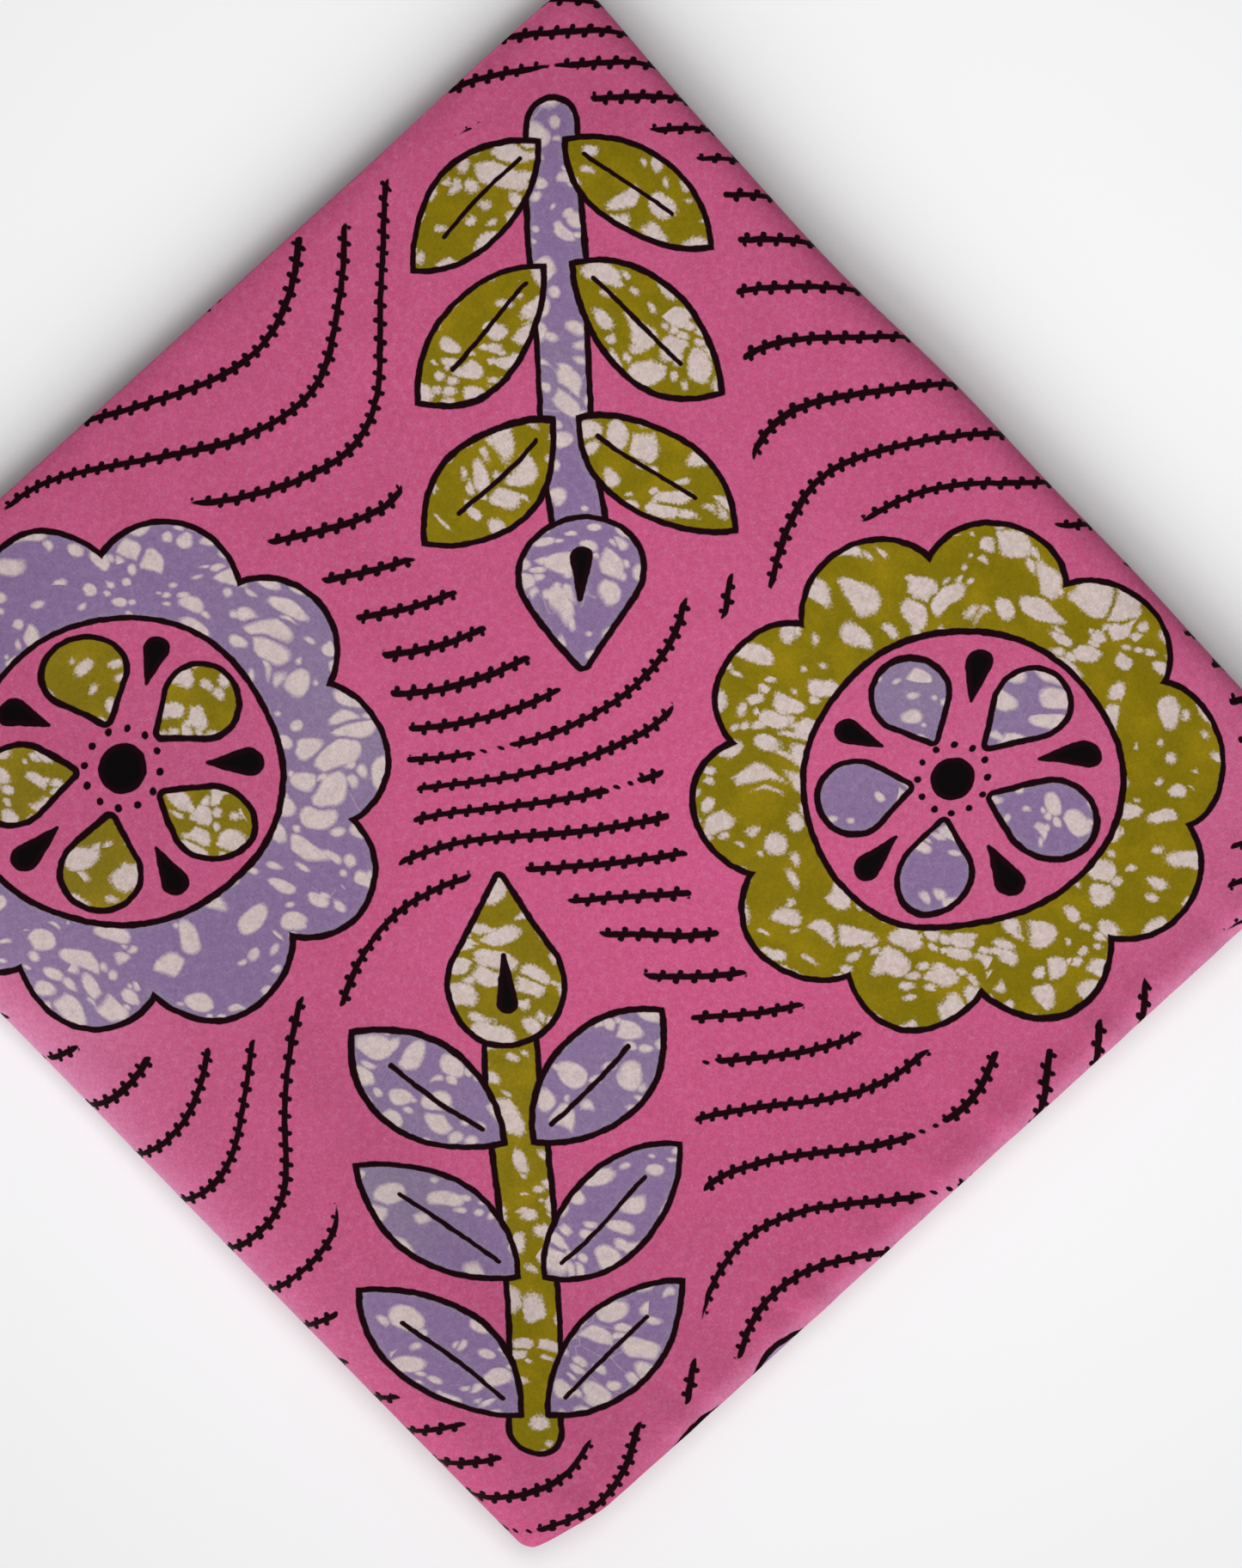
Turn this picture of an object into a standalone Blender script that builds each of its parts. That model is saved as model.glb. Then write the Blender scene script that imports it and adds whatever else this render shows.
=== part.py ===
"""Folded length of wax-print cotton, lying flat. Metres, +Z up, origin under the middle of the stack.

The cloth is 1.12 m wide and about 5.6 m long. It is folded in thirds across its width, which gives a strip
of three plies, and the strip is folded in half four times, which gives a stack of sixteen strips. +X runs
from the soft spine of the last fold to the opposite side, and +Y runs across the strip.

The outermost strip is a wall of its own. It starts at its cut end under the stack, runs round the spine and
over the top, turns at the opposite side and runs back through the middle of the stack. The strips inside it
are one rounded solid with a ridge for each.
"""

import math

import bmesh
import bpy
import numpy as np

# Driving dimensions
STACK_HEIGHT = 0.0220
STRIPS = 16
HALF_WIDTH = 0.1862
WALL = 0.0010
STRIP_PITCH = STACK_HEIGHT / STRIPS
CLEAR = STRIP_PITCH - WALL
LOW = WALL / 2
HIGH = STACK_HEIGHT - WALL / 2
BACK = (STACK_HEIGHT + STRIP_PITCH) / 2

# The spine side and the end side, each a distance from the middle. Both slant, and the end side dips inwards
SPINE_X = 0.1794
SPINE_SLANT = 0.0144
END_X = 0.1834
END_SLANT = 0.0064
END_DIP = 0.0040
END_DIP_Y = 0.0970
END_DIP_REACH = 0.0750

# Rounded noses of the spine and of the fold on the end side, measured along X
SPINE_NOSE = 0.0170
END_NOSE = 0.0105
NOSE_POWER = 2.3
NESTED_POWER = 2.15
CUT_SET_BACK = 0.0045
TURN_SET_BACK = 0.0100

# The two long sides: how far in the top starts to fall, and by how much, and a faint trough beside the near one
FAR_REACH = 0.0065
FAR_DROP = 0.0020
NEAR_REACH = 0.0095
NEAR_DROP = 0.0026
TROUGH_IN = 0.0128
TROUGH_WIDTH = 0.0045
TROUGH_DEPTH = 0.0006

# Corners pull in: one row for each, with its signs along X and Y, its length along X and its depth along Y
CORNERS = (
    # sign_x, sign_y, length, depth
    (-1, -1, 0.030, 0.0060),
    (-1, 1, 0.020, 0.0042),
    (1, -1, 0.016, 0.0036),
    (1, 1, 0.012, 0.0028),
)

# Strips inside the wrap: how far their long edges sit back, and how uneven they are
RIDGES = 7
RIDGE_DEPTH = 0.0009
EDGE_INSET = 0.0020
EDGE_SCATTER = 0.0010
END_GROUPS = (
    # first_layer, last_layer, set_back, bulge, sway, phase
    (0, 4, 0.0032, 0.0024, 0.0010, 0.4),
    (4, 6, 0.0052, 0.0013, 0.0008, 2.1),
    (6, 7, 0.0072, 0.0002, 0.0006, 4.0),
)
SWAY_WAVES = 13

# Grid counts
SPINE_STEPS = 18
END_STEPS = 14
FLAT_STEPS = 10
RIDGE_STEPS = 4
WRAP_COLUMNS = (-1, -0.988, -0.974, -0.955, -0.93, -0.87, -0.7, -0.4)
LAYER_COLUMNS = (-1, -0.974, -0.955, -0.93, -0.87, -0.7, -0.4)


def across_columns(side_columns):
    """Positions across the strip from -1 to 1, from those of one side, which lie closer together near it."""
    return np.array(side_columns + (0,) + tuple(-c for c in reversed(side_columns)))


def half_width_at(x, side):
    """Half the width at x on the side of this sign: straight, and pulled in towards each corner."""
    half = np.full_like(x, HALF_WIDTH)
    for sign_x, sign_y, length, depth in CORNERS:
        edge = SPINE_X if sign_x < 0 else END_X
        near = np.clip((sign_x * x - (edge - length)) / length, 0, 1)
        half = half - np.where(side == sign_y, depth * near**2, 0)
    return half


def ends_at(y):
    """X of the spine side and of the end side at y."""
    spine = -SPINE_X - SPINE_SLANT * y / (2 * HALF_WIDTH)
    dip = END_DIP * np.exp(-(((y - END_DIP_Y) / END_DIP_REACH) ** 2))
    end = END_X - END_SLANT * y / (2 * HALF_WIDTH) - dip
    return spine, end


def height_share(x, y):
    """Stack height at a place as a share of the full height: it falls at the two long sides."""
    far = np.clip((y - (HALF_WIDTH - FAR_REACH)) / FAR_REACH, 0, 1)
    near = np.clip((-y - (HALF_WIDTH - NEAR_REACH)) / NEAR_REACH, 0, 1)
    trough = np.exp(-(((y + HALF_WIDTH - TROUGH_IN) / TROUGH_WIDTH) ** 2))
    fade = np.clip((x + END_X / 2) / END_X, 0, 1)
    lost = FAR_DROP * far**2 + NEAR_DROP * near**2 + TROUGH_DEPTH * trough * fade
    return 1 - lost / STACK_HEIGHT


def place(x, y_share, z):
    """Moves points of a plain stack to the real one, with its slants, soft corners and falling sides."""
    x, y_share, z = np.broadcast_arrays(x, y_share, z)
    y = y_share * half_width_at(x, np.sign(y_share))
    spine, end = ends_at(y)
    share = (x + SPINE_X) / (SPINE_X + END_X)
    height = LOW + (z - LOW) * height_share(x, y)
    return np.stack([spine + share * (end - spine), y, height], axis=-1)


def nose(angle, reach, rise):
    """A point on a rounded nose: a superellipse of these half sizes, at an angle from its tip."""
    power = 2 / NOSE_POWER
    out = reach * abs(math.cos(angle)) ** power
    up = rise * math.copysign(abs(math.sin(angle)) ** power, math.sin(angle))
    return out, up


def wrap_path():
    """Middle line of the outermost strip, from its cut end, round the spine, over the top and back in."""
    spine_centre = -SPINE_X + SPINE_NOSE
    end_centre = END_X - END_NOSE
    points = [(x, LOW) for x in np.linspace(END_X - CUT_SET_BACK, spine_centre, FLAT_STEPS)]
    for i in range(1, SPINE_STEPS):
        out, up = nose(math.pi * (i / SPINE_STEPS - 0.5), SPINE_NOSE, (HIGH - LOW) / 2)
        points.append((spine_centre - out, (HIGH + LOW) / 2 + up))
    points += [(x, HIGH) for x in np.linspace(spine_centre, end_centre, FLAT_STEPS)]
    for i in range(1, END_STEPS):
        out, up = nose(math.pi * (0.5 - i / END_STEPS), END_NOSE, (HIGH - BACK) / 2)
        points.append((end_centre + out, (HIGH + BACK) / 2 + up))
    points += [(x, BACK) for x in np.linspace(end_centre, spine_centre + TURN_SET_BACK, FLAT_STEPS)]
    return np.array(points)


def band_edges():
    """Inner and outer edge of the band of hidden strips, as matching rows of x and z.

    The band starts at the upper end fold, runs to the spine, round it, and back below to the lower ends. The
    returning wall lies between its two arms.
    """
    spine_centre = -SPINE_X + SPINE_NOSE
    end_centre = END_X - END_NOSE
    room = WALL / 2 + CLEAR
    top, bottom = HIGH - room, LOW + room
    turn_x = spine_centre + TURN_SET_BACK
    inner, outer = [], []
    for x in np.linspace(end_centre, spine_centre, FLAT_STEPS):
        inner.append((max(x, turn_x), BACK + room))
        outer.append((x, top))
    for i in range(1, SPINE_STEPS):
        angle = math.pi * (0.5 - i / SPINE_STEPS)
        out, up = nose(angle, SPINE_NOSE - room, (top - bottom) / 2)
        inner.append((turn_x - 2 * room * math.cos(angle), BACK + room * math.sin(angle)))
        outer.append((spine_centre - out, (top + bottom) / 2 + up))
    for x in np.linspace(spine_centre, end_centre, FLAT_STEPS):
        inner.append((max(x, turn_x), BACK - room))
        outer.append((x, bottom))
    return np.array(inner), np.array(outer)


def lower_end(depth, across):
    """How far the lower ends reach past the flat stretch: a nest of four strips, a pair and a cut end."""
    layer = depth * RIDGES
    reach = np.zeros_like(depth)
    for first, last, set_back, bulge, sway, phase in END_GROUPS:
        inside = (layer >= first) & (layer <= last)
        off_middle = np.clip((2 * layer - first - last) / (last - first), -1, 1)
        uneven = sway * np.sin(SWAY_WAVES * across + phase)
        reach = np.where(inside, END_NOSE - set_back + bulge * np.sqrt(1 - off_middle**2) + uneven, reach)
    return reach


def upper_end(depth):
    """How far the nested strips reach into the fold of the outermost one."""
    rounded = (1 - np.abs(2 * depth - 1) ** NESTED_POWER) ** (1 / NESTED_POWER)
    return (END_NOSE - WALL / 2 - CLEAR) * rounded


def edge_inset(along, depth, across):
    """How far a long edge sits back: a rounded ridge for each strip, each with its own uneven offset."""
    ridge = np.abs(np.sin(math.pi * RIDGES * depth))
    layer = np.floor(np.clip(depth * RIDGES, 0, RIDGES - 0.001))
    scatter = EDGE_SCATTER * np.sin(2.4 * layer + 9 * along + np.sign(across))
    return EDGE_INSET + scatter * ridge + RIDGE_DEPTH * (1 - ridge)


def layer_points(row, depth, across):
    """Points of the hidden strips, from their row along the band, their depth in it and their place across."""
    inner, outer = band_edges()
    last = len(inner) - 1
    x, z = (inner[row] + depth[:, None] * (outer[row] - inner[row])).T
    upper = row == 0
    lower = row == last
    x = x + np.where(upper, upper_end(depth), 0) + np.where(lower, lower_end(depth, across), 0)
    inset = np.where(np.abs(across) == 1, edge_inset(row / last, depth, across), 0)
    return place(x, across * (1 - inset / HALF_WIDTH), z)


def grid_mesh(name, points):
    """An open sheet through a table of points."""
    rows, cols = points.shape[:2]
    mesh = bpy.data.meshes.new(name)
    shape = bmesh.new()
    bmesh.ops.create_grid(shape, x_segments=rows - 1, y_segments=cols - 1, size=0.5)
    for vert in shape.verts:
        row = round((vert.co.x + 0.5) * (rows - 1))
        col = round((vert.co.y + 0.5) * (cols - 1))
        vert.co = points[row, col]
    shape.to_mesh(mesh)
    shape.free()
    return mesh


def block_mesh(name, counts, mapping):
    """A closed box divided along its three directions, whose points mapping moves by their counts."""
    mesh = bpy.data.meshes.new(name)
    shape = bmesh.new()
    bmesh.ops.create_cube(shape, size=1)
    for axis, count in enumerate(counts):
        along = [e for e in shape.edges if abs(e.verts[0].co[axis] - e.verts[1].co[axis]) > 0.5]
        bmesh.ops.subdivide_edges(shape, edges=along, cuts=count - 1, use_grid_fill=True)
    steps = np.rint((np.array([vert.co for vert in shape.verts]) + 0.5) * counts).astype(int)
    for vert, point in zip(shape.verts, mapping(*steps.T)):
        vert.co = point
    shape.to_mesh(mesh)
    shape.free()
    return mesh


def cotton(name, colour, roughness):
    """A matt cotton in one colour."""
    material = bpy.data.materials.new(name)
    material.use_nodes = True
    surface = material.node_tree.nodes["Principled BSDF"]
    surface.inputs["Base Color"].default_value = (*colour, 1)
    surface.inputs["Roughness"].default_value = roughness
    surface.inputs["Metallic"].default_value = 0
    return material


def add_object(mesh, material, collection):
    """Puts a mesh in the model, smooth but for its sharp edges."""
    obj = bpy.data.objects.new(mesh.name, mesh)
    mesh.materials.append(material)
    mesh.shade_smooth()
    mesh.set_sharp_from_angle(angle=math.radians(40))
    collection.objects.link(obj)
    return obj


def make_outer_wrap(collection):
    """The strip that shows: under side, spine, top, end fold and its return through the stack."""
    path = wrap_path()
    points = place(path[:, None, 0], across_columns(WRAP_COLUMNS)[None, :], path[:, None, 1])
    obj = add_object(grid_mesh("outer_wrap", points), cotton("printed_cotton", (0.55, 0.10, 0.22), 0.8), collection)
    wall = obj.modifiers.new("wall", "SOLIDIFY")
    wall.thickness = WALL
    wall.offset = 0
    wall.use_even_offset = True
    return obj


def make_inner_layers(collection):
    """The strips inside the wrap as one rounded solid, with a ridge for each along its long sides."""
    columns = across_columns(LAYER_COLUMNS)
    rows = len(band_edges()[0])
    depths = RIDGES * RIDGE_STEPS

    def mapping(row, depth, col):
        return layer_points(row, depth / depths, columns[col])

    mesh = block_mesh("inner_layers", (rows - 1, depths, len(columns) - 1), mapping)
    return add_object(mesh, cotton("printed_cotton_inside", (0.42, 0.10, 0.20), 0.85), collection)


def main():
    """Clears the scene and builds the folded cloth."""
    for obj in list(bpy.data.objects):
        bpy.data.objects.remove(obj)
    collection = bpy.data.collections.new("folded_ankara_cloth")
    bpy.context.scene.collection.children.link(collection)
    make_outer_wrap(collection)
    make_inner_layers(collection)


main()
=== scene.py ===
"""Folded length of wax-print cotton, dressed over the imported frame. Metres, +Z up, floor at zero.

The cloth is 1.12 m wide and about 5.6 m long. It is folded in thirds across its width, and that strip of
three plies is folded in half four times. Both pieces here are stretches of the one strip, carried along its
real path through the stack. Every point of them knows its place on the unfolded cloth, in metres, and the
print is worked out from that place, so it runs round the folds unbroken.
"""

import logging
import math
from dataclasses import dataclass
from enum import Enum
from functools import reduce
from typing import Dict, Optional, Tuple, Union

import bpy
import numpy as np
from mathutils import Matrix, Vector


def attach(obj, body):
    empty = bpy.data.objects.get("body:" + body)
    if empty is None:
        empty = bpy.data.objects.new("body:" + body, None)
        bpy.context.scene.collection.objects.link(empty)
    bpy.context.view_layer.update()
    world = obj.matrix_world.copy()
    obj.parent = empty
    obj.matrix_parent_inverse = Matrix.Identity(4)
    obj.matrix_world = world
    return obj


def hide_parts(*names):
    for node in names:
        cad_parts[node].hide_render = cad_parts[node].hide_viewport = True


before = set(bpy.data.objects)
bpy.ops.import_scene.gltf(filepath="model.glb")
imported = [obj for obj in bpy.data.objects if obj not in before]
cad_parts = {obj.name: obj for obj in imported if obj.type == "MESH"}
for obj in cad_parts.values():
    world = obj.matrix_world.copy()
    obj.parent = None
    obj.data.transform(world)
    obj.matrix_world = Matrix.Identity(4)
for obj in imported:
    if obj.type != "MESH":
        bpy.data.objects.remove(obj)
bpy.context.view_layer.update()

LOG = logging.getLogger("folded_cloth")
Pair = Tuple[float, float]
Triple = Tuple[float, float, float]
Four = Tuple[float, float, float, float]
Array = np.ndarray
Fields = Tuple["Field", ...]
Number = Union["Field", float]
TURN = 2 * math.pi
EDGE_STEPS_MM = (0.0, 0.5, 1.2, 2.1, 3.2, 4.5, 6.0, 7.7, 9.6, 11.8, 14.2, 16.8)
FOLD_STEPS = 6
CUT_SETBACK = 0.0015
CUT_EASE = 0.00002
SWELL_REACH = 0.004
CELL_SCATTER = 0.8


def add_object(name: str, data: bpy.types.ID, world: Matrix) -> bpy.types.Object:
    """Makes an object of this data, turned and placed by a matrix, and links it to the scene.

    Args:
        name: its name.
        data: its mesh, light or camera.
        world: where it stands.

    Returns:
        The object.
    """
    obj = bpy.data.objects.new(name, data)
    obj.matrix_world = world
    bpy.context.scene.collection.objects.link(obj)
    return obj


def way_in(place: Array, edge: float, reach: float) -> Array:
    """Share of the last stretch before an edge: 0 up to where it starts, and 1 from the edge on."""
    return np.clip((place - (edge - reach)) / reach, 0, 1)


def bell(away: Array) -> Array:
    """1 at zero, falling away on both sides as the exponential of minus the square."""
    return np.exp(-(away**2))


class Side(Enum):
    """Which side of the stack a fold is on, with its sign along X."""

    SPINE = -1
    END = 1


class Part(Enum):
    """Which part of the folded strip a piece is: its object, the solid it stands for and its slot."""

    WRAP = ("outer_wrap_cloth", "outer_wrap", "printed_cotton")
    LAYERS = ("inner_layers_cloth", "inner_layers", "printed_cotton_inside")


@dataclass(frozen=True)
class Corner:
    """A corner that pulls in: its signs along X and Y, length along X, depth along Y and how it steepens."""

    sign_x: int
    sign_y: int
    length: float
    depth: float
    power: float = 2.0


@dataclass(frozen=True)
class Bow:
    """A slow swing of a long edge: the edge's sign along Y, its middle and reach along X, and its depth."""

    sign_y: int
    middle: float
    reach: float
    depth: float


@dataclass(frozen=True)
class Crease:
    """A soft ridge or trough of the stack: its middle, its turn in degrees, half sizes and rise.

    Where left_width is given, it is the half width on the side to the left of the turn.
    """

    x: float
    y: float
    turn: float
    half_length: float
    half_width: float
    rise: float
    left_width: float = 0.0


@dataclass(frozen=True)
class Sway:
    """How the ends of a group of strips waver across the stack."""

    first: int
    last: int
    amount: float
    phase: float


@dataclass(frozen=True)
class StackForm:
    """The outline and height of the folded stack, in the frame's own sizes."""

    half_width: float = 0.1862
    wall: float = 0.0010
    height: float = 0.0220
    spine_x: float = 0.1799
    spine_slant: float = 0.0164
    end_x: float = 0.1837
    end_slant: float = 0.0064
    end_dip: float = 0.0035
    end_dip_y: float = 0.0856
    end_dip_reach: float = 0.0681
    far_reach: float = 0.0078
    far_drop: float = 0.0013
    near_reach: float = 0.0070
    near_drop: float = 0.0020
    rim_in: float = 0.0060
    rim_width: float = 0.0068
    rim_height: float = 0.0019
    rim_middle: float = 0.0780
    rim_reach: float = 0.0800
    pucker: float = 0.00026
    pucker_reach: float = 0.0190
    pucker_pitches: Triple = (0.0210, 0.0330, 0.0145)
    pucker_skew: float = 40.0
    ripple: float = 0.00009
    ripples: Tuple[Triple, ...] = ((61, 23, 0.7), (17, -74, 2.1), (88, -39, 4.4))
    settle: float = 0.0012
    far_fall: float = 0.00195
    far_fall_reach: float = 0.0450
    spine_fall: Four = (0.0038, 0.036, 0.052, 0.075)
    end_fall: Four = (0.0011, 0.0150, 0.030, 0.110)
    tip_reach: float = 0.0042
    tip_depth: float = 0.0016
    corners: Tuple[Corner, ...] = (
        Corner(-1, -1, 0.0270, 0.0054, 1.0),
        Corner(-1, 1, 0.020, 0.0042),
        Corner(1, -1, 0.016, 0.0036),
        Corner(1, 1, 0.012, 0.0028),
    )
    bows: Tuple[Bow, ...] = (
        Bow(-1, -0.105, 0.050, 0.0009),
        Bow(-1, 0.010, 0.045, -0.0006),
        Bow(1, 0.170, 0.065, 0.0019),
    )
    creases: Tuple[Crease, ...] = (
        Crease(-0.164, -0.120, 86, 0.085, 0.028, 0.0018),
        Crease(-0.138, -0.085, 84, 0.085, 0.015, 0.0018, 0.044),
        Crease(-0.112, -0.082, 84, 0.085, 0.044, -0.0012, 0.015),
        Crease(-0.128, 0.030, 90, 0.125, 0.034, 0.0020),
        Crease(0.145, -0.020, 90, 0.230, 0.070, 0.0018),
        Crease(0.190, 0.180, 45, 0.050, 0.030, -0.0028),
        Crease(0.150, -0.140, 40, 0.050, 0.030, 0.0006),
        Crease(0.155, -0.078, 50, 0.019, 0.007, -0.0006),
        Crease(0.151, 0.002, 42, 0.020, 0.011, -0.0006),
        Crease(0.128, 0.052, 64, 0.034, 0.008, -0.0004),
        Crease(0.060, 0.120, -8, 0.090, 0.020, -0.0003),
        Crease(-0.020, 0.020, 75, 0.110, 0.016, 0.0003),
        Crease(0.110, 0.020, 96, 0.080, 0.014, -0.0002),
        Crease(-0.060, -0.030, 20, 0.060, 0.018, -0.0003),
        Crease(0.046, -0.070, -34, 0.048, 0.007, 0.0003),
        Crease(0.018, -0.122, 66, 0.036, 0.008, -0.0003),
        Crease(-0.088, 0.128, 97, 0.040, 0.006, -0.0003),
        Crease(-0.052, 0.146, 84, 0.034, 0.006, 0.0003),
        Crease(-0.118, 0.142, 104, 0.030, 0.005, 0.0003),
    )

    @property
    def low(self) -> float:
        """Height of the middle of the lowest strip."""
        return self.wall / 2

    @property
    def high(self) -> float:
        """Height of the middle of the highest strip."""
        return self.height - self.wall / 2

    def half_width_at(self, x: Array, side: Array) -> Array:
        """Half the width at x, less depth times a power of the way into each corner, with each edge's bows.

        Args:
            x: place along the strip.
            side: sign of the side.

        Returns:
            Half the width at each place.
        """
        half = np.full(x.shape, self.half_width)
        for corner in self.corners:
            edge = self.spine_x if corner.sign_x < 0 else self.end_x
            near = way_in(corner.sign_x * x, edge, corner.length)
            half = half - np.where(side == corner.sign_y, corner.depth * near**corner.power, 0)
        for bow in self.bows:
            swing = bow.depth * bell((x - bow.middle) / bow.reach)
            half = half + np.where(side == bow.sign_y, swing, 0)
        return half

    def ends_at(self, y: Array) -> Tuple[Array, Array]:
        """X of the two ends at y: slanting lines, the spine rounded at its near tip and the end dipped.

        The near tip ends where the first corner has pulled the edge in to.

        Args:
            y: place across the strip.

        Returns:
            X of the spine side and of the end side.
        """
        tip = way_in(-y, self.half_width - self.corners[0].depth, self.tip_reach)
        spine = -self.spine_x - self.spine_slant * y / (2 * self.half_width) + self.tip_depth * tip**2
        dip = self.end_dip * bell((y - self.end_dip_y) / self.end_dip_reach)
        end = self.end_x - self.end_slant * y / (2 * self.half_width) - dip
        return spine, end

    def relief(self, x: Array, y: Array) -> Array:
        """Height that the top gains or loses: falls at all four sides, a rim, puckers, creases and ripples.

        Each fall grows with the square of the way to its side, and those at the spine and the end also as a
        bell along them. A low rim swells beside the near side, a bell both ways, and the puckers run in from
        that side under a bell. Each crease is a bell across and a flat-topped bell along. The ripples are a
        sum of slow sines.

        Args:
            x: place along the strip.
            y: place across it.

        Returns:
            Change of height at each place.
        """
        far = way_in(y, self.half_width, self.far_reach)
        wide = way_in(y, self.half_width, self.far_fall_reach)
        near = way_in(-y, self.half_width, self.near_reach)
        past_rim = np.clip(y + self.half_width - self.rim_in, 0, None) / self.rim_width
        raised = bell(past_rim) * bell((x - self.rim_middle) / self.rim_reach)
        change = -self.far_drop * far**2 - self.far_fall * wide**2 - self.near_drop * near**2
        change = change + self.rim_height * raised - self.settle
        for fall, sign, edge in ((self.spine_fall, -1, self.spine_x), (self.end_fall, 1, self.end_x)):
            drop, reach, middle, width = fall
            rolled = way_in(sign * x, edge, reach)
            change = change - drop * rolled**2 * bell((y - middle) / width)
        skew = self.pucker_skew * y
        gather = sum(np.sin(TURN * x / pitch + skew + i) for i, pitch in enumerate(self.pucker_pitches))
        change = change + self.pucker * gather * bell((y + self.half_width) / self.pucker_reach)
        for crease in self.creases:
            turn = math.radians(crease.turn)
            along = (x - crease.x) * math.cos(turn) + (y - crease.y) * math.sin(turn)
            across = (y - crease.y) * math.cos(turn) - (x - crease.x) * math.sin(turn)
            width = np.where(across > 0, crease.left_width or crease.half_width, crease.half_width)
            flat_bell = np.exp(-((along / crease.half_length) ** 4))
            change = change + crease.rise * flat_bell * bell(across / width)
        return change + self.ripple * sum(np.sin(a * x + b * y + phase) for a, b, phase in self.ripples)

    def place(self, x: Array, share: Array, z: Array) -> Array:
        """Moves points of a plain stack to the real one: slants, soft corners, falling sides and creases.

        Args:
            x: place along the plain strip.
            share: place across it, from -1 to 1.
            z: height in the plain stack.

        Returns:
            The points, with a last axis of three.
        """
        x, share, z = np.broadcast_arrays(x, share, z)
        y = share * self.half_width_at(x, np.sign(share))
        spine, end = self.ends_at(y)
        part = (x + self.spine_x) / (self.spine_x + self.end_x)
        lift = 1 + self.relief(x, y) / self.height
        return np.stack([spine + part * (end - spine), y, self.low + (z - self.low) * lift], axis=-1)


@dataclass(frozen=True)
class Strand:
    """Samples along the middle line of the strip, in the plain stack."""

    x: Array
    z: Array
    out_x: Array
    out_z: Array
    along: Array
    sway: Array
    phase: Array
    far_inset: Array
    near_inset: Array

    def part(self, first: int, last: int) -> "Strand":
        """The samples from first up to last."""
        return Strand(**{name: values[first:last] for name, values in vars(self).items()})

    def after(self, row: int, gap: float) -> "Strand":
        """The samples past a row, led by a new one that follows the row by a gap.

        Args:
            row: the row.
            gap: the gap along the cloth.

        Returns:
            The rest of the strand.
        """
        share = gap / (self.along[row + 1] - self.along[row])
        made = {}
        for name, values in vars(self).items():
            lead = values[row] + share * (values[row + 1] - values[row])
            made[name] = np.concatenate([[lead], values[row + 1 :]])
        return Strand(**made)

    @property
    def length(self) -> float:
        """Length of the strand along its middle line."""
        return float(self.along[-1] - self.along[0])


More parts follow.
